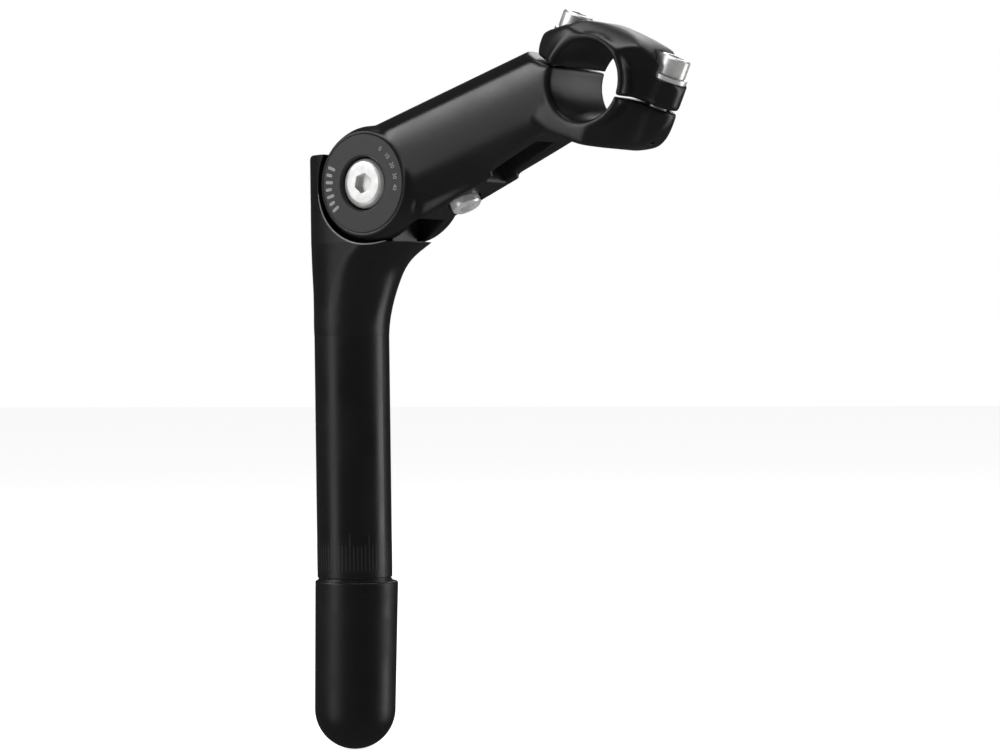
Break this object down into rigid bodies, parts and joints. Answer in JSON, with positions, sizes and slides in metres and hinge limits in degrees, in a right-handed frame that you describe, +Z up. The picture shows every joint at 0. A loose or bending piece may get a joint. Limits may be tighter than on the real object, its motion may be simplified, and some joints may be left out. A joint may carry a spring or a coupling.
{
  "type": "handlebar stem",
  "caption": "Adjustable-angle quill stem in satin black with a two-bolt bar clamp, scale plate and a vinyl cap on the quill's lower end.",
  "frame": {"origin": "on the quill's axis, where the plain shaft meets its flared head", "axes": "+X forward over the arm towards the handlebar, +Y to the rider's left, +Z up the quill"},
  "size_m": [0.1481, 0.0334, 0.2443],
  "materials": {
    "black_quill": "satin",
    "black_arm": "satin",
    "grey_plate": "satin",
    "zinc_steel": "satin",
    "bare_alloy": "satin",
    "black_vinyl": "soft satin",
    "brass_bush": "satin",
    "plastic_shim": "matte"
  },
  "bodies": {
    "quill": {"quill_body": "black_quill", "expander_washer": "zinc_steel", "pivot_bush": "brass_bush"},
    "expander_screw": {"expander_bolt": "zinc_steel"},
    "wedge": {"expander_wedge": "bare_alloy"},
    "cap": {"end_cap": "black_vinyl"},
    "arm": {"stem_arm": "black_arm", "scale_plate": "grey_plate", "plain_plate": "grey_plate", "pivot_shim_right": "plastic_shim", "pivot_shim_left": "plastic_shim", "lock_washer": "zinc_steel"},
    "pivot_screw": {"pivot_bolt": "zinc_steel"},
    "pivot_sleeve": {"pivot_nut": "zinc_steel"},
    "lock_screw": {"lock_bolt": "zinc_steel", "lock_clip": "zinc_steel"},
    "lock": {"lock_block": "bare_alloy"},
    "bar_cap": {"clamp_cap": "black_arm", "clamp_washer_rear": "zinc_steel", "clamp_washer_front": "zinc_steel"},
    "rear_screw": {"clamp_bolt_rear": "zinc_steel"},
    "front_screw": {"clamp_bolt_front": "zinc_steel"}
  },
  "joints": [
    {"name": "arm_tilt", "type": "hinge", "parent": "quill", "child": "arm", "pos_m": [0.0179, 0, 0.05], "axis": [0, -1, 0], "range_deg": [-8, 40]},
    {"name": "expander_wedge_drop", "type": "slide", "parent": "quill", "child": "wedge", "axis": [0, 0, -1], "range_m": [0, 0.00375]},
    {"name": "expander_bolt_turn", "type": "hinge", "parent": "quill", "child": "expander_screw", "pos_m": [0, 0, 0], "axis": [0, 0, 1], "range_deg": [0, 1081]},
    {"name": "end_cap_pull", "type": "slide", "parent": "quill", "child": "cap", "axis": [0, 0, -1], "range_m": [0, 0.13]},
    {"name": "pivot_nut_out", "type": "slide", "parent": "arm", "child": "pivot_sleeve", "axis": [0, 1, 0], "range_m": [0, 0.002]},
    {"name": "pivot_bolt_turn", "type": "hinge", "parent": "arm", "child": "pivot_screw", "pos_m": [0.0179, 0, 0.05], "axis": [0, -1, 0], "range_deg": [0, 721]},
    {"name": "lock_block_slide", "type": "slide", "parent": "arm", "child": "lock", "axis": [-0.4602, 0, 0.8878], "range_m": [-0.0016, 0.0004]},
    {"name": "lock_bolt_turn", "type": "hinge", "parent": "arm", "child": "lock_screw", "pos_m": [0.04763, 0, 0.04356], "axis": [0.4602, 0, -0.8878], "range_deg": [-577, 145]},
    {"name": "clamp_cap_lift", "type": "slide", "parent": "arm", "child": "bar_cap", "axis": [0.4131, 0, 0.9107], "range_m": [0, 0.003]},
    {"name": "clamp_bolt_front_turn", "type": "hinge", "parent": "bar_cap", "child": "front_screw", "pos_m": [0.1229, 0, 0.07051], "axis": [0.4131, 0, 0.9107], "range_deg": [0, 1081]},
    {"name": "clamp_bolt_rear_turn", "type": "hinge", "parent": "bar_cap", "child": "rear_screw", "pos_m": [0.08665, 0, 0.08695], "axis": [0.4131, 0, 0.9107], "range_deg": [0, 1081]}
  ],
  "couplings": [
    {"joint": "expander_bolt_turn", "follows": "expander_wedge_drop", "rad_per_m": 5026.5},
    {"joint": "pivot_bolt_turn", "follows": "pivot_nut_out", "rad_per_m": 6283.2},
    {"joint": "lock_bolt_turn", "follows": "lock_block_slide", "rad_per_m": 6283.2},
    {"joint": "clamp_bolt_front_turn", "follows": "clamp_cap_lift", "rad_per_m": 6283.2},
    {"joint": "clamp_bolt_rear_turn", "follows": "clamp_cap_lift", "rad_per_m": 6283.2}
  ]
}
